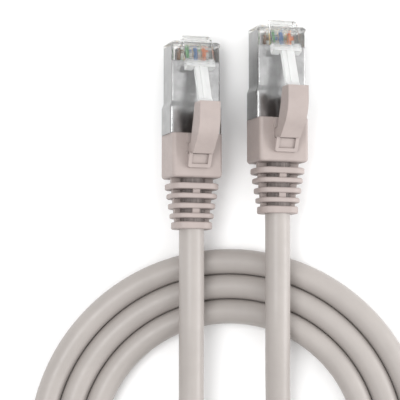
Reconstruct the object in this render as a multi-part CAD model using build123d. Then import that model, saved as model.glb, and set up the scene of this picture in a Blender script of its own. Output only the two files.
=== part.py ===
from build123d import *
import math
import os

# Shielded ethernet patch cable: a flat coil of three turns whose ends cross over it, each in an 8P8C plug.
# Lengths are millimetres. The coil lies on Z = 0 round the origin, and the plugs point along +Y.

# Cable and coil
CABLE_D = 5.8
CABLE_R = CABLE_D / 2
OUTER_LANE_R = 44.05
LANES = 3
TAIL_JOIN_DEG = 20

# How each plug lies: nose down on the floor, rolled towards +X, exit point of the boot
PITCH_DEG = 5
ROLL_DEG = 19
EXIT_Z = 8.85
EXITS = {"left": (-8.8, 51.6, EXIT_Z), "right": (11.0, 55.2, EXIT_Z)}

# Free ends of the cable, from the boot to the coil
ROUTES = {
    "left": [
        (-8.8, 51.6, EXIT_Z),
        (-8.8, 42.0, 9.69),
        (-8.8, 29.5, 9.9),
        (-8.9, 11.0, 6.6),
        (-8.8, -8.6, 8.4),
        (1.3, -22.5, 9.9),
        (17.6, -27.8, 9.4),
        (33.9, -22.5, 9.3),
        (44.05, -8.6, 6.4),
        (44.05, 7.77, 2.9),
        (41.39, 15.07, 2.9),
    ],
    "right": [
        (11.0, 55.2, EXIT_Z),
        (11.0, 43.5, 9.87),
        (11.0, 29.0, 10.0),
        (11.2, 11.5, 5.0),
        (12.2, -7.3, 2.9),
        (3.9, -19.1, 2.9),
        (-10.0, -23.6, 2.9),
        (-23.9, -19.1, 2.9),
        (-32.45, -7.3, 2.9),
        (-32.45, 0.0, 2.9),
    ],
}
ARC_SHARE = 0.45

# Plug, in its own frame: exit of the boot at the origin, nose towards +Y, latch side +Z
PLUG_W = 11.7
PLUG_H = 6.6
FACE_Z = PLUG_H / 2
SHEET = 0.3
FRONT_Y = 43.3
CHAMFER = 0.45
INNER_W = PLUG_W - 2 * SHEET
INNER_H = PLUG_H - 2 * SHEET
PLENTY = 60
NEAR = 0.01

# Hollows of the housing: width, span along the plug, and height
HOUSING_REAR_Y = 22.4
WIRE_CHANNEL = (8.3, (30.0, 42.1), 2.2)
BAR_POCKET = (8.8, (22.0, 34.0), 3.2)
REAR_MOUTH = (8.8, (22.0, 27.5), 4.6)
FACE_GROOVE_W = 8.6
FACE_GROOVE_Y = (40.8, 41.9)
FACE_GROOVE_Z = 1.9

# Shield: square shell in front, a little wider and lower behind
SHIELD_Y = (21.8, 42.2)
SHIELD_TOP_Y = 38.7
FLARE_Y = (28.0, 29.2)
FLARE_W = 12.5
FLARE_H = 7.1
FLARE_DROP = 0.15
FLARE_CORNER = 0.6
SHELL_CORNER = 0.35
CONTACT_OPENING_W = 9.4
CONTACT_OPENING_Y = 35.6

# Wires and contacts
CONTACTS = 8
CONTACT_PITCH = 1.016
CONTACT_T = 0.32
CONTACT_SLOT_W = 0.44
CONTACT_SLOT_Y = (36.4, 42.6)
CONTACT_SLOT_Z = -1.0
CONTACT_Y = (36.8, 42.3)
CONTACT_Z = (-2.9, -1.6)
WIRE_D = 0.98
WIRE_ROW_Z = 0.5
WIRE_Y = (19.6, 42.0)
WIRE_BEND_Y = (21.4, 28.2)
WIRE_BEND_R = 1.6
WIRE_RING_R = 1.6
WIRE_FIRST_DEG = 157.5
WIRE_STEP_DEG = 45
WIRE_FIT = 0.02
WIRES = ["brown", "white_brown", "green", "white_blue", "blue", "white_green", "orange", "white_orange"]
LOAD_BAR_Y = (30.6, 33.6)
LOAD_BAR_W = 8.5
LOAD_BAR_H = 2.9

# Latch, hinged at the nose; along its own length it runs from 0 back to -LATCH_LENGTH
LATCH_AXIS = (0, 43.2, 3.05)
LATCH_DEG = 20.5
LATCH_W = 6.8
LATCH_NECK_W = 3.1
LATCH_T = 0.95
LATCH_LENGTH = 17.2
SHOULDER_END = 7.3
SHOULDER_LENGTH = 2.4
SHOULDER_DEPTH = 2.0
TIP_LENGTH = 1.4
TIP_T = 0.45
NOSE_R = 1.3
HINGE_GAP = 0.06
CHEEK_Y = 44.1
CHEEK_Z = (0.9, 2.9)
CHEEK_W = LATCH_W - 0.4
CHEEK_ROOT = 0.6
CHEEK_CORNER = 0.5
SHOULDER_BEVEL = 0.9
RIDGE_W = 0.9
RIDGE_H = 0.3

# Boot
JACKET_END_Y = 19.6
BOOT_W = 12.0
BOOT_H = 9.3
BOOT_TOP = BOOT_H / 2
BOX_Y = (11.7, 21.8)
BOX_WALL = 0.75
BOX_FLOOR = 1.4
BOX_CORNER = 0.9
BOX_EDGE = 0.8
RING_Y = [(9.07, 10.47), (6.98, 8.14), (4.65, 5.88), (2.47, 3.6), (0.0, 1.63)]
RING_W = (11.6, 9.2)
RING_H = (9.2, 7.2)
RING_CORNER = 2.9
RING_EDGE = 0.35
CORE_IN = 0.65
CORE_CORNER = 2.4
CORE_Y = (0.8, 12.6)
SLOT_FLOOR_Z = 0.6
SLOT_MARGIN = 0.02
BRIDGE_W = 1.7
BORE_R = 2.95
BRAID_R = 3.2
BRAID_Y = (13.8, 19.2)
COLLAR_R = 3.6
COLLAR_Y = (14.2, 18.8)
COLLAR_GROOVE_W = 0.4
COLLAR_GROOVE_DEPTH = 0.15
STRAP_LAP = 0.8
CRIMP_GROOVES_Y = (15.3, 16.5, 17.7)
STRAP_W = 4.0
STRAP_Z = (-3.68, -3.3)

# Lever and the raised frame that it turns in
LEVER_AXIS = (0, 18.1, 6.0)
KNUCKLE_R = 1.25
KNUCKLE_GAP = 0.1
PAD_EDGE = 0.3
LEVER_W = 4.9
LEVER_WALL = 0.6
LEVER_T = 1.2
LEVER_TOP_Z = 13.15
LEVER_FRONT_Y = 28.1
LEVER_HEEL = (16.8, 8.1)
LEVER_KNEE_Y = 21.9
LEVER_KNEE_R = 8.0
PLATE_UNDER = [(LEVER_FRONT_Y, LEVER_TOP_Z - LEVER_T), (22.6, LEVER_TOP_Z - LEVER_T), (18.3, 7.4)]
WALL_UNDER = [(LEVER_FRONT_Y, 9.4), (24.8, 8.5), (21.6, 7.3), (19.3, 6.45)]
LEVER_ROOT = [(18.6, 6.9), (17.6, 7.05), (LEVER_HEEL[0], 7.15)]
LATCH_PAD_W = 1.8
LATCH_PAD_Y = (26.4, 27.9)
LATCH_PAD_Z = 11.3
FRAME_W = 5.5
FRAME_ROOT = 0.3
FRAME_CORNER = 0.5
FRAME_Y = (13.8, 21.6)
FRAME_FOOT_Z = 5.6
FRAME_SLOPE = [(13.8, 5.5), (17.2, 7.0)]
PANEL_SLOPE = [(14.6, 5.4), (17.4, 6.64)]
PANEL_W = 3.8


def block(x, y, z):
    """A box from its (low, high) pairs."""
    size = [high - low for low, high in (x, y, z)]
    middle = [(high + low) / 2 for low, high in (x, y, z)]
    return Pos(*middle) * Box(*size)


def both(half, y, z):
    """A box that reaches half to each side of the middle plane."""
    return block((-half, half), y, z)


def rounded(width, height, radius, y):
    """A rounded rectangle that stands across the plug at y."""
    return Plane((0, y, 0), x_dir=(1, 0, 0), z_dir=(0, 1, 0)) * RectangleRounded(width, height, radius)


def bar(width, height, radius, y):
    """A rounded bar along the plug between two y."""
    return extrude(rounded(width, height, radius, y[0]), amount=y[1] - y[0], dir=(0, 1, 0))


def rod(radius, y):
    """A round rod on the plug's axis."""
    return Pos(0, (y[0] + y[1]) / 2, 0) * Rot(X=90) * Cylinder(radius, y[1] - y[0])


def across(radius, width, at):
    """A round rod from side to side."""
    return Pos(*at) * Rot(Y=90) * Cylinder(radius, width)


def edges_at(shape, y):
    """The edges that lie wholly in the plane across the plug at y."""
    return shape.edges().filter_by_position(Axis.Y, y - NEAR, y + NEAR)


def side_cut(points, width):
    """A prism of a side outline of (y, z) points, centred on the middle plane."""
    outline = make_face(Polyline(*[(0, y, z) for y, z in points], close=True))
    return extrude(outline, amount=width / 2, dir=(1, 0, 0), both=True)


# Cable


def tail_path(points):
    """Straight runs joined by arcs, each as large as its runs allow. An end run holds one arc, not two."""
    corners = [Vector(*p) for p in points]
    room = [(after - before).length for before, after in zip(corners, corners[1:])]
    room[0] *= 2
    room[-1] *= 2
    radii = []
    for i in range(1, len(corners) - 1):
        turn = math.radians((corners[i] - corners[i - 1]).get_angle(corners[i + 1] - corners[i]))
        radii.append(ARC_SHARE * min(room[i - 1], room[i]) / math.tan(turn / 2))
    return FilletPolyline(*corners, radius=radii), radii


def tail(side):
    path, radii = tail_path(ROUTES[side])
    section = Plane(origin=path @ 0, z_dir=path % 0) * Circle(CABLE_R)
    tube = sweep(section, path=path)
    expected = math.pi * CABLE_R**2 * path.length
    print(f"{side} arc radii mm:", [round(r, 1) for r in radii])
    print(f"{side} length {path.length:.1f} mm, volume {tube.volume:.1f}, section x length {expected:.1f}")
    return tube


def lanes(count, outer, start, arc, centre_x=0):
    """Turns side by side, as one swept slot, over an arc round centre_x."""
    width = count * CABLE_D
    middle = outer + CABLE_R - width / 2
    slot = Plane.XZ * Pos(middle, CABLE_R) * SlotOverall(width, CABLE_D)
    return Pos(centre_x, 0, 0) * Rot(Z=start) * revolve(slot, Axis.Z, arc)


def coil():
    """A spiral of half turns: the lower half is centred half a lane to the left, and holds one turn fewer."""
    shift = CABLE_D / 2
    upper = lanes(LANES, OUTER_LANE_R, TAIL_JOIN_DEG, 180 - TAIL_JOIN_DEG)
    inner = lanes(LANES - 1, OUTER_LANE_R - CABLE_D, 0, TAIL_JOIN_DEG)
    lower = lanes(LANES - 1, OUTER_LANE_R - shift, 180, 180, -shift)
    return upper + inner + lower


# Plug


def wire_x(index):
    return (index - (CONTACTS - 1) / 2) * CONTACT_PITCH


def wire_z(index):
    return WIRE_ROW_Z if index % 2 == 0 else -WIRE_ROW_Z


def wire(index):
    """Straight through the load bar, then drawn in to its place in the round bundle."""
    turn = math.radians(WIRE_FIRST_DEG - WIRE_STEP_DEG * (index // 2))
    side = 1 if index % 2 == 0 else -1
    ring_x, ring_z = WIRE_RING_R * math.cos(turn), side * WIRE_RING_R * math.sin(turn)
    points = [
        (ring_x, WIRE_Y[0], ring_z),
        (ring_x, WIRE_BEND_Y[0], ring_z),
        (wire_x(index), WIRE_BEND_Y[1], wire_z(index)),
        (wire_x(index), WIRE_Y[1], wire_z(index)),
    ]
    path = FilletPolyline(*points, radius=WIRE_BEND_R)
    section = Plane(origin=path @ 0, z_dir=path % 0) * Circle(WIRE_D / 2)
    return sweep(section, path=path)


def blades():
    """Gold contacts, each with a chamfered front corner and two points that reach its wire."""
    (back, front), (low, high) = CONTACT_Y, CONTACT_Z
    group = []
    for index in range(CONTACTS):
        tip = wire_z(index) - WIRE_D / 2 - 0.03
        outline = [(back, low), (front - 0.4, low), (front, low + 0.4), (front, high)]
        for point_y in (front - 1.4, front - 3.7):
            outline += [(point_y + 0.3, high), (point_y, tip), (point_y - 0.6, high)]
        outline.append((back, high))
        group.append(Pos(wire_x(index), 0, 0) * side_cut(outline, CONTACT_T))
    return Compound(children=group)


def load_bar():
    """Clear comb with one hole for each wire."""
    comb = both(LOAD_BAR_W / 2, LOAD_BAR_Y, (-LOAD_BAR_H / 2, LOAD_BAR_H / 2))
    for index in range(CONTACTS):
        comb -= Pos(wire_x(index), 0, wire_z(index)) * rod(WIRE_D / 2 + WIRE_FIT, LOAD_BAR_Y)
    return comb


def housing():
    """Clear body: wire channel, bar pocket, contact slots, face groove and the hinge cheek under the nose."""
    body = both(INNER_W / 2, (HOUSING_REAR_Y, FRONT_Y), (-INNER_H / 2, INNER_H / 2))
    body += both(PLUG_W / 2, (SHIELD_Y[1], FRONT_Y), (-FACE_Z, FACE_Z))
    body += both(INNER_W / 2, (SHIELD_TOP_Y, SHIELD_Y[1]), (INNER_H / 2, FACE_Z))
    body = chamfer(edges_at(body, FRONT_Y), CHAMFER)
    for width, y, height in (WIRE_CHANNEL, BAR_POCKET, REAR_MOUTH):
        body -= both(width / 2, y, (-height / 2, height / 2))
    body -= both(FACE_GROOVE_W / 2, FACE_GROOVE_Y, (FACE_GROOVE_Z, PLENTY))
    for index in range(CONTACTS):
        body -= Pos(wire_x(index), 0, 0) * both(CONTACT_SLOT_W / 2, CONTACT_SLOT_Y, (-PLENTY, CONTACT_SLOT_Z))
    cheek = both(CHEEK_W / 2, (FRONT_Y - CHEEK_ROOT, CHEEK_Y), CHEEK_Z)
    body += fillet(cheek.edges().filter_by(Axis.Z).sort_by(Axis.Y)[-2:], CHEEK_CORNER)
    body -= across(NOSE_R + HINGE_GAP, LATCH_W + 1, LATCH_AXIS)
    return body


def shield():
    """Folded sheet shell with a flared back, and openings over the contacts and the front of the housing."""
    front_y, back_y = (FLARE_Y[1], SHIELD_Y[1]), (SHIELD_Y[0], FLARE_Y[0])
    flare = (FLARE_W, FLARE_H, FLARE_CORNER)
    flare_inner = (FLARE_W - 2 * SHEET, FLARE_H - 2 * SHEET, FLARE_CORNER - SHEET)
    shell = (PLUG_W, PLUG_H, SHELL_CORNER)
    shell_inner = (INNER_W, INNER_H, SHELL_CORNER - SHEET)
    drop = Pos(0, 0, -FLARE_DROP)
    front = bar(*shell, front_y) - bar(*shell_inner, front_y)
    back = drop * (bar(*flare, back_y) - bar(*flare_inner, back_y))
    step = loft([drop * rounded(*flare, FLARE_Y[0]), rounded(*shell, FLARE_Y[1])])
    step -= loft([drop * rounded(*flare_inner, FLARE_Y[0]), rounded(*shell_inner, FLARE_Y[1])])
    body = front + step + back
    body -= both(PLUG_W, (SHIELD_TOP_Y, PLENTY), (INNER_H / 2 - SHEET, PLENTY))
    body -= both(CONTACT_OPENING_W / 2, (CONTACT_OPENING_Y, PLENTY), (-PLENTY, -INNER_H / 2 + SHEET))
    return body


def braid():
    return rod(BRAID_R, BRAID_Y) - rod(CABLE_R, BRAID_Y)


def collar():
    """Crimped ring round the braid, with a strap to the shield."""
    ring = rod(COLLAR_R, COLLAR_Y) - rod(BRAID_R, COLLAR_Y)
    for y in CRIMP_GROOVES_Y:
        groove_y = (y - COLLAR_GROOVE_W / 2, y + COLLAR_GROOVE_W / 2)
        ring -= rod(PLENTY, groove_y) - rod(COLLAR_R - COLLAR_GROOVE_DEPTH, groove_y)
    strap_y = (COLLAR_Y[0] + STRAP_LAP, SHIELD_Y[0])
    strap = both(STRAP_W / 2, strap_y, STRAP_Z) - rod(BRAID_R, strap_y)
    return ring + strap


def latch():
    """Rolled nose, wide part with two locking shoulders, and narrow tongue with a ridge and thick tip."""
    top = NOSE_R
    under = top - LATCH_T
    wide = both(LATCH_W / 2, (-SHOULDER_END, 0), (under, top))
    shoulder_y = (-SHOULDER_END, -SHOULDER_END + SHOULDER_LENGTH)
    shoulders = both(LATCH_W / 2, shoulder_y, (top - SHOULDER_DEPTH, top + 0.25))
    shoulders -= both(LATCH_NECK_W / 2, (-PLENTY, PLENTY), (-PLENTY, under))
    shoulders = chamfer(shoulders.edges().filter_by(Axis.X).group_by(Axis.Y)[-1].group_by(Axis.Z)[0], SHOULDER_BEVEL)
    neck = both(LATCH_NECK_W / 2, (-LATCH_LENGTH, -SHOULDER_END + 0.3), (under, top + 0.1))
    tip = both(LATCH_NECK_W / 2, (-LATCH_LENGTH, -LATCH_LENGTH + TIP_LENGTH), (under, top + TIP_T))
    ridge = both(RIDGE_W / 2, (-LATCH_LENGTH + 1, -1.5), (under, top + RIDGE_H))
    tongue = Rot(X=-LATCH_DEG) * (wide + shoulders + neck + tip + ridge)
    bend = across(NOSE_R, LATCH_W - 0.4, (0, 0, 0)) - across(NOSE_R - LATCH_T, LATCH_W, (0, 0, 0))
    bend -= Rot(X=-LATCH_DEG) * both(LATCH_W, (-9, 0), (-9, 9))
    bend -= both(LATCH_W, (-9, 9), (-9, -0.6))
    return Pos(*LATCH_AXIS) * (tongue + bend)


# Boot


def ring_size(index):
    share = index / (len(RING_Y) - 1)
    return [first + (last - first) * share for first, last in (RING_W, RING_H)]


def core_size(index):
    return [size - 2 * CORE_IN for size in ring_size(index)]


def gaps():
    """The spaces in front of each ring, from the box back."""
    starts = [ring[1] for ring in RING_Y]
    ends = [BOX_Y[0]] + [ring[0] for ring in RING_Y[:-1]]
    return list(zip(starts, ends))


def boot():
    """Box and tapering ribbed sleeve, slotted all round but for a web at each side, and the lever's frame."""
    box = bar(BOOT_W, BOOT_H, BOX_CORNER, BOX_Y)
    box = fillet(edges_at(box, BOX_Y[0]), BOX_EDGE)
    front, back = core_size(0), core_size(len(RING_Y) - 1)
    core_ends = rounded(*back, CORE_CORNER, CORE_Y[0]), rounded(*front, CORE_CORNER, CORE_Y[1])
    body = box + loft(core_ends)
    for index, y in enumerate(RING_Y):
        ring = bar(*ring_size(index), RING_CORNER, y)
        body += fillet(ring.edges().group_by(Axis.Y)[0] + ring.edges().group_by(Axis.Y)[-1], RING_EDGE)
    for index, (start, end) in enumerate(gaps()):
        y = (start + SLOT_MARGIN, end - SLOT_MARGIN)
        slot = both(BOOT_W, y, (SLOT_FLOOR_Z, PLENTY)) + both(BOOT_W, y, (-PLENTY, -SLOT_FLOOR_Z))
        if index % 2:
            slot -= both(BRIDGE_W / 2, y, (-PLENTY, PLENTY))
        body -= slot
    body -= rod(BORE_R, (-1, BOX_Y[1]))
    inside_y = (BOX_Y[0] + BOX_FLOOR, BOX_Y[1] + 1)
    body -= bar(BOOT_W - 2 * BOX_WALL, BOOT_H - 2 * BOX_WALL, BOX_CORNER - BOX_WALL / 2, inside_y)
    return body + lever_frame()


def lever_frame():
    """Foot on the boot with a sloping frame round a sunk panel, and the groove that the knuckle turns in."""
    base_z = BOOT_TOP - FRAME_ROOT
    foot = both(FRAME_W / 2, FRAME_Y, (base_z, FRAME_FOOT_Z))
    middle_y = LEVER_AXIS[1]
    frame = [(FRAME_Y[0], base_z), *FRAME_SLOPE, (middle_y, FRAME_SLOPE[-1][1]), (middle_y, base_z)]
    body = foot + side_cut(frame, FRAME_W)
    body = fillet(body.edges().filter_by(Axis.Z).sort_by(Axis.Y)[:2], FRAME_CORNER)
    body -= side_cut([*PANEL_SLOPE, (PANEL_SLOPE[-1][0], PLENTY), (PANEL_SLOPE[0][0], PLENTY)], PANEL_W)
    body -= across(KNUCKLE_R + KNUCKLE_GAP, FRAME_W + 1, LEVER_AXIS)
    body -= both(FRAME_W, (middle_y, PLENTY), (FRAME_FOOT_Z, PLENTY))
    return body


def lever():
    """Hooked arm of channel section: knuckle, curved plate, two side walls, and the pad over the latch."""
    heel = (0, *LEVER_HEEL)
    knee, front = (0, LEVER_KNEE_Y, LEVER_TOP_Z), (0, LEVER_FRONT_Y, LEVER_TOP_Z)
    top = FilletPolyline(heel, knee, front, radius=LEVER_KNEE_R)
    plate = arm_prism(top, PLATE_UNDER + LEVER_ROOT, LEVER_W)
    channel = arm_prism(top, WALL_UNDER + LEVER_ROOT, LEVER_W)
    channel -= arm_prism(top, WALL_UNDER + LEVER_ROOT, LEVER_W - 2 * LEVER_WALL)
    pad = both(LATCH_PAD_W / 2, LATCH_PAD_Y, (LATCH_PAD_Z, LEVER_TOP_Z - LEVER_T / 2))
    pad = fillet(pad.edges().filter_by(Axis.X).group_by(Axis.Z)[0], PAD_EDGE)
    return plate + channel + across(KNUCKLE_R, LEVER_W, LEVER_AXIS) + pad


def arm_prism(top, under, width):
    """Prism between the arm's curved top and a lower outline that runs from its front to its heel."""
    start, end = top @ 0, top @ 1
    points = [(0, end.Y, end.Z)] + [(0, y, z) for y, z in under] + [(0, start.Y, start.Z)]
    outline = make_face(Wire([*top.edges(), *Polyline(*points).edges()]))
    return extrude(outline, amount=width / 2, dir=(1, 0, 0), both=True)


# Assembly


def place(side):
    return Pos(*EXITS[side]) * Rot(X=-PITCH_DEG) * Rot(Y=ROLL_DEG)


def write(name, shape):
    shape.label = name
    export_step(shape, f"parts/{name}.step")


def plug_parts():
    """Every solid of one plug, in the plug's own frame."""
    parts = {
        "housing": housing(),
        "shield": shield(),
        "contacts": blades(),
        "load_bar": load_bar(),
        "latch": latch(),
        "jacket_end": rod(CABLE_R, (0, JACKET_END_Y)),
        "braid": braid(),
        "crimp_collar": collar(),
        "boot": boot(),
        "lever": lever(),
    }
    for index, colour in enumerate(WIRES):
        parts[f"wire_{colour}"] = wire(index)
    return parts


def main():
    os.makedirs("parts", exist_ok=True)
    write("cable_coil", coil())
    for name, shape in plug_parts().items():
        for side in EXITS:
            write(f"{side}_{name}", place(side) * shape)
    for side in EXITS:
        write(f"{side}_cable_end", tail(side))


main()
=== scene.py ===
import math

import bpy
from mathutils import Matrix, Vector


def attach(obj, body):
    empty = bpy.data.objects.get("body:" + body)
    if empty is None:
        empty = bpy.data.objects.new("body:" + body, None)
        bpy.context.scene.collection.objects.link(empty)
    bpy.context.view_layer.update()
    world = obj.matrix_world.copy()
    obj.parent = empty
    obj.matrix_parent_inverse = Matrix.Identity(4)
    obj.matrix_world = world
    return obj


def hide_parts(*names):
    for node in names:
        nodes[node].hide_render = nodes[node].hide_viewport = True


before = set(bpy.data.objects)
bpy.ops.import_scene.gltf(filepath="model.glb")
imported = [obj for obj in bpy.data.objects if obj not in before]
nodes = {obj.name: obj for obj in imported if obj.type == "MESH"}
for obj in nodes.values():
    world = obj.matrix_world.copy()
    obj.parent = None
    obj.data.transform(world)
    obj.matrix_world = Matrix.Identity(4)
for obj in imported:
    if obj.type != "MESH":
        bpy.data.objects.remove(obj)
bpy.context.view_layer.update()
MM = 0.001

# Camera: straight down on the coil, far enough away that the plugs show little perspective
VIEW_CENTRE = (-6.85, 58.4)
VIEW_WIDTH = 92.3
PLUG_PLANE_Z = 8.0
CAMERA_Z = 400.0
SENSOR_MM = 36.0

# Cable: the free ends repeat the routes that the CAD tubes follow, in millimetres
CABLE_D = 5.8
CABLE_R = CABLE_D / 2
LEFT_ROUTE = [
    (-8.8, 51.6, 8.85),
    (-8.8, 42.0, 9.69),
    (-8.8, 29.5, 9.9),
    (-8.9, 11.0, 6.6),
    (-8.8, -8.6, 8.4),
    (1.3, -22.5, 9.9),
    (17.6, -27.8, 9.4),
    (33.9, -22.5, 9.3),
    (44.05, -8.6, 6.4),
    (44.05, 7.77, 2.9),
]
RIGHT_ROUTE = [
    (11.0, 55.2, 8.85),
    (11.0, 43.5, 9.87),
    (11.0, 29.0, 10.0),
    (11.2, 11.5, 5.0),
    (12.2, -7.3, 2.9),
    (3.9, -19.1, 2.9),
    (-10.0, -23.6, 2.9),
    (-23.9, -19.1, 2.9),
    (-32.45, -7.3, 2.9),
]
OUTER_LANE_R = 44.05
COIL_START_DEG = 20
HALF_TURNS = 5
COIL_STEPS = 12
CABLE_SEGMENTS = 10
CABLE_ROUNDNESS = 8


def half_turn(index):
    """Corners round one half turn. Lower halves are centred half a lane left of the upper ones."""
    upper = index % 2 == 0
    start = COIL_START_DEG if index == 0 else 0
    steps = COIL_STEPS - 2 if index == 0 else COIL_STEPS
    step = math.radians((180 - start) / steps)
    centre_x = 0 if upper else -CABLE_R
    radius = (OUTER_LANE_R - index * CABLE_R) / math.cos(step / 2)
    first = math.radians(start if upper else 180)
    turns = [first + (i + 0.5) * step for i in range(steps)]
    return [(centre_x + radius * math.cos(a), radius * math.sin(a), CABLE_R) for a in turns]


def cable_points():
    points = list(LEFT_ROUTE)
    for index in range(HALF_TURNS):
        points += half_turn(index)
    return points + RIGHT_ROUTE[::-1]


def make_camera():
    data = bpy.data.cameras.new("camera")
    data.sensor_width = SENSOR_MM
    data.lens = SENSOR_MM * (CAMERA_Z - PLUG_PLANE_Z) / VIEW_WIDTH
    data.clip_start = 10 * MM
    camera = bpy.data.objects.new("camera", data)
    camera.location = (VIEW_CENTRE[0] * MM, VIEW_CENTRE[1] * MM, CAMERA_Z * MM)
    bpy.context.scene.collection.objects.link(camera)
    bpy.context.scene.camera = camera


def make_cable():
    data = bpy.data.curves.new("cable", "CURVE")
    data.dimensions = "3D"
    points = cable_points()
    spline = data.splines.new("NURBS")
    spline.points.add(len(points) - 1)
    for point, place in zip(spline.points, points):
        point.co = (*(v * MM for v in place), 1)
        point.radius = CABLE_R * MM
    spline.order_u = 3
    spline.use_endpoint_u = True
    spline.resolution_u = CABLE_SEGMENTS
    data.bevel_depth = 1.0
    data.bevel_resolution = CABLE_ROUNDNESS
    data.use_fill_caps = True
    cable = bpy.data.objects.new("cable", data)
    bpy.context.scene.collection.objects.link(cable)
    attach(cable, "root")
    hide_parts("cable_coil", "left_cable_end", "right_cable_end")
    return cable


# Materials: colours are linear, and depths and radii are in millimetres
NOISE_ROUGHNESS = 0.6
NOISE_SPAN = (0.3, 0.7)
BEVEL_SAMPLES = 6
MIX_FACTOR, MIX_FIRST, MIX_SECOND, MIX_RESULT = 0, 6, 7, 2
JACKET = (0.365, 0.335, 0.316)
BOOT = (0.355, 0.301, 0.283)
CLEAR = (1.0, 1.0, 0.99)
LATCH_TINT = (0.93, 0.935, 0.93)
LATCH_CLEAR_SPAN = (0.55, 0.68)
SHEET_DARK = (0.31, 0.31, 0.31)
SHEET_LIGHT = (0.4, 0.4, 0.4)
WIRE_COLOURS = {
    "brown": (0.20, 0.095, 0.045),
    "green": (0.02, 0.33, 0.06),
    "blue": (0.03, 0.16, 0.48),
    "orange": (0.95, 0.2, 0.02),
}
WIRE_WHITE = (0.93, 0.92, 0.90)
STRIPE_SPAN = (0.80, 0.86)
EDGE_MM = 0.14
SHEET_FOLD_MM = 0.55


class Shader:
    """A node material round one Principled shader, with short calls to add texture."""

    def __init__(self, name, colour, roughness, **inputs):
        self.material = bpy.data.materials.new(name)
        self.material.use_nodes = True
        self.tree = self.material.node_tree
        self.shader = self.tree.nodes["Principled BSDF"]
        self.shader.inputs["Base Color"].default_value = (*colour, 1)
        self.shader.inputs["Roughness"].default_value = roughness
        for key, value in inputs.items():
            self.shader.inputs[key.replace("_", " ")].default_value = value
        self.coords = self.tree.nodes.new("ShaderNodeTexCoord")
        self.height = None

    def add(self, kind, **settings):
        node = self.tree.nodes.new(kind)
        for key, value in settings.items():
            if key in node.inputs:
                node.inputs[key].default_value = value
            else:
                setattr(node, key, value)
        return node

    def link(self, output, target):
        self.tree.links.new(output, target)

    def scaled(self, stretch):
        """Object coordinates in millimetres, stretched along each axis."""
        mapping = self.add("ShaderNodeMapping")
        mapping.inputs["Scale"].default_value = tuple(1000 * s for s in stretch)
        self.link(self.coords.outputs["Object"], mapping.inputs["Vector"])
        return mapping.outputs["Vector"]

    def noise(self, scale, detail, stretch=(1, 1, 1)):
        node = self.add("ShaderNodeTexNoise", Scale=scale, Detail=detail, Roughness=NOISE_ROUGHNESS)
        self.link(self.scaled(stretch), node.inputs["Vector"])
        return node.outputs["Fac"]

    def ranged(self, value, low, high, span=NOISE_SPAN):
        """The value moved from its span to the range from low to high."""
        node = self.add("ShaderNodeMapRange")
        ends = {"From Min": span[0], "From Max": span[1], "To Min": low, "To Max": high}
        for key, end in ends.items():
            node.inputs[key].default_value = end
        self.link(value, node.inputs["Value"])
        return node.outputs["Result"]

    def mixed(self, factor, first, second):
        """Base colour from the first to the second as the factor goes from 0 to 1."""
        mix = self.add("ShaderNodeMix", data_type="RGBA")
        mix.inputs[MIX_FIRST].default_value = (*first, 1)
        mix.inputs[MIX_SECOND].default_value = (*second, 1)
        self.link(factor, mix.inputs[MIX_FACTOR])
        self.link(mix.outputs[MIX_RESULT], self.shader.inputs["Base Color"])

    def along(self, axis):
        """Place along one axis of the piece, from 0 to 1."""
        split = self.add("ShaderNodeSeparateXYZ")
        self.link(self.coords.outputs["Generated"], split.inputs["Vector"])
        return split.outputs[axis]

    def tint(self, value, dark, light):
        """Base colour between two tints by a texture."""
        self.mixed(self.ranged(value, 0, 1), dark, light)

    def rough(self, value, low, high):
        self.link(self.ranged(value, low, high), self.shader.inputs["Roughness"])

    def soft_edges(self, radius_mm):
        """Rounds the look of sharp edges. Comes before any bump."""
        node = self.add("ShaderNodeBevel", samples=BEVEL_SAMPLES)
        node.inputs["Radius"].default_value = radius_mm * MM
        self.height = node.outputs["Normal"]
        self.link(self.height, self.shader.inputs["Normal"])

    def bump(self, value, depth_mm):
        node = self.add("ShaderNodeBump", Strength=1.0, Distance=depth_mm * MM)
        self.link(value, node.inputs["Height"])
        if self.height:
            self.link(self.height, node.inputs["Normal"])
        self.height = node.outputs["Normal"]
        self.link(self.height, self.shader.inputs["Normal"])


def scale_colour(colour, factor):
    return tuple(min(1, c * factor) for c in colour)


def jacket_material():
    s = Shader("jacket_pvc", JACKET, 0.4)
    s.tint(s.noise(0.12, 3), scale_colour(JACKET, 0.96), scale_colour(JACKET, 1.04))
    s.rough(s.noise(0.6, 4), 0.34, 0.46)
    s.bump(s.noise(5, 4), 0.012)
    return s.material


def jacket_end_material():
    """The jacket in the dark of the boot's slots, ribbed lengthwise by the moulding. Its colour is
    painted shade: half the boot colour, streaked darker and lighter along the ribs.
    """
    # Painted shade: a dark copy of the boot colour stands for the shade deep in the slots.
    slot_shade_colour = scale_colour(BOOT, 0.5)
    s = Shader("jacket_in_boot_painted_shade", slot_shade_colour, 0.6)
    ribs = s.noise(2.2, 3, (1, 0.05, 1))
    # Painted shade and light: darker and lighter streaks along the ribs, added on top of the rib bump.
    s.tint(ribs, scale_colour(slot_shade_colour, 0.6), scale_colour(slot_shade_colour, 1.3))
    s.rough(s.noise(3, 3), 0.5, 0.7)
    s.bump(ribs, 0.08)
    return s.material


def boot_material():
    s = Shader("boot_pvc", BOOT, 0.48)
    s.soft_edges(EDGE_MM)
    s.tint(s.noise(0.25, 3), scale_colour(BOOT, 0.95), scale_colour(BOOT, 1.05))
    s.rough(s.noise(1.5, 4), 0.4, 0.55)
    s.bump(s.noise(7, 5), 0.018)
    return s.material


def housing_material():
    s = Shader("clear_polycarbonate", CLEAR, 0.03, IOR=1.33, Transmission_Weight=0.97, Alpha=0.92)
    s.soft_edges(EDGE_MM)
    s.rough(s.noise(1.2, 3), 0.01, 0.06)
    s.bump(s.noise(0.8, 2), 0.01)
    return s.material


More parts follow.
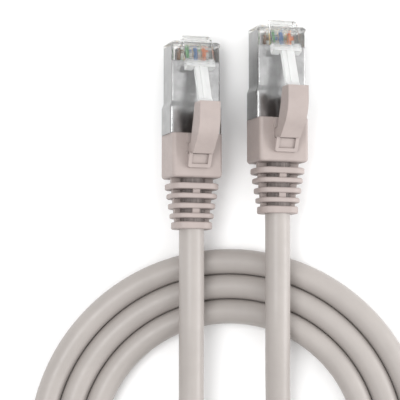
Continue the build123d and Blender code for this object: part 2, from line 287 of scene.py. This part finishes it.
def latch_material():
    """Clear over the wires, and milky along the thin tongue, which is the back half of the latch."""
    s = Shader("hazy_polycarbonate", LATCH_TINT, 0.06, IOR=1.33, Alpha=0.95)
    s.soft_edges(EDGE_MM)
    clear = s.ranged(s.along("Y"), 0.55, 0.99, LATCH_CLEAR_SPAN)
    s.link(clear, s.shader.inputs["Transmission Weight"])
    s.rough(s.noise(1.2, 3), 0.02, 0.09)
    s.bump(s.noise(0.8, 2), 0.01)
    return s.material


def shield_material():
    s = Shader("nickel_sheet", SHEET_LIGHT, 0.2, Metallic=1.0)
    s.soft_edges(SHEET_FOLD_MM)
    s.tint(s.noise(0.3, 3), SHEET_DARK, SHEET_LIGHT)
    s.rough(s.noise(1.0, 5, (1, 0.15, 1)), 0.13, 0.27)
    s.bump(s.noise(9, 3, (1, 0.04, 1)), 0.004)
    s.bump(s.noise(0.35, 2), 0.05)
    return s.material


def gold_material():
    s = Shader("gold_contact", (0.93, 0.66, 0.25), 0.2, Metallic=1.0)
    s.tint(s.noise(1.5, 3), (0.85, 0.58, 0.2), (0.97, 0.72, 0.32))
    s.rough(s.noise(4, 3), 0.12, 0.3)
    return s.material


def braid_material():
    s = Shader("tinned_braid", (0.7, 0.69, 0.66), 0.35, Metallic=1.0)
    for direction in (1, -1):
        wave = s.add("ShaderNodeTexWave", Scale=1.0, Distortion=0.4)
        s.link(s.scaled((1, direction, 1)), wave.inputs["Vector"])
        s.bump(wave.outputs["Fac"], 0.08)
    s.rough(s.noise(3, 3), 0.25, 0.5)
    return s.material


def wire_material(name):
    """Solid insulation, or white with a band of the pair's colour every few millimetres."""
    pair = name.removeprefix("white_")
    colour = WIRE_COLOURS[pair]
    striped = name != pair
    s = Shader(f"insulation_{name}", WIRE_WHITE if striped else colour, 0.35)
    if striped:
        bands = s.add("ShaderNodeTexWave", Scale=0.11, Distortion=0.3, bands_direction="Y")
        s.link(s.scaled((1, 1, 1)), bands.inputs["Vector"])
        s.mixed(s.ranged(bands.outputs["Fac"], 0, 1, STRIPE_SPAN), WIRE_WHITE, colour)
    else:
        s.tint(s.noise(0.8, 3), scale_colour(colour, 0.9), scale_colour(colour, 1.15))
    s.rough(s.noise(3, 3), 0.28, 0.45)
    s.bump(s.noise(4, 3), 0.01)
    return s.material


def floor_material():
    s = Shader("floor", (0.93, 0.93, 0.93), 0.75)
    s.rough(s.noise(0.05, 3), 0.7, 0.85)
    return s.material


def dress(node, material):
    """Gives a CAD node its material."""
    node.data.materials.clear()
    node.data.materials.append(material)


def dress_all(cable):
    jacket = jacket_material()
    cable.data.materials.append(jacket)
    boot = boot_material()
    clear = housing_material()
    shield = shield_material()
    gold = gold_material()
    braid = braid_material()
    by_part = {
        "housing": clear,
        "load_bar": clear,
        "latch": latch_material(),
        "shield": shield,
        "crimp_collar": shield,
        "contacts": gold,
        "braid": braid,
        "jacket_end": jacket_end_material(),
        "boot": boot,
        "lever": boot,
    }
    wires = {name: wire_material(name) for pair in WIRE_COLOURS for name in (pair, f"white_{pair}")}
    for side in ("left", "right"):
        for part, material in by_part.items():
            dress(nodes[f"{side}_{part}"], material)
        for name, material in wires.items():
            dress(nodes[f"{side}_wire_{name}"], material)


# Stage: places and sizes in metres, power in watts
FLOOR_HALF = 1.6
FLOOR_DROP = 0.0002
STUDIO_STRENGTH = 0.9
MIDDLE = (0, 0.05, 0)
LIGHTS = {
    "key": ((-0.17, 0.08, 0.5), (0.3, 0.2), 1.2),
    "card": ((0.33, 0.05, 0.42), (0.4, 0.4), 0.35),
    "right_strip": ((0.5, 0.0, 0.17), (0.5, 0.2), 1.8),
}


def make_floor():
    size = FLOOR_HALF
    data = bpy.data.meshes.new("floor")
    corners = [(-size, -size, 0), (size, -size, 0), (size, size, 0), (-size, size, 0)]
    data.from_pydata(corners, [], [(0, 1, 2, 3)])
    floor = bpy.data.objects.new("floor", data)
    floor.location.z = -FLOOR_DROP
    bpy.context.scene.collection.objects.link(floor)
    data.materials.append(floor_material())


def area_light(name, place, size, power):
    data = bpy.data.lights.new(name, "AREA")
    data.shape = "RECTANGLE"
    data.size, data.size_y = size
    data.energy = power
    light = bpy.data.objects.new(name, data)
    light.location = place
    direction = Vector(MIDDLE) - Vector(place)
    light.rotation_euler = direction.to_track_quat("-Z", "Y").to_euler()
    bpy.context.scene.collection.objects.link(light)


def make_lights():
    """A soft key overhead to the left, a card above and a low strip on the right, and an even studio."""
    world = bpy.data.worlds.new("studio")
    world.use_nodes = True
    background = world.node_tree.nodes["Background"]
    background.inputs["Color"].default_value = (1, 1, 1, 1)
    background.inputs["Strength"].default_value = STUDIO_STRENGTH
    bpy.context.scene.world = world
    bpy.context.scene.view_settings.view_transform = "Standard"
    for name, (place, size, power) in LIGHTS.items():
        area_light(name, place, size, power)


make_camera()
cable = make_cable()
dress_all(cable)
make_floor()
make_lights()

bpy.context.view_layer.update()
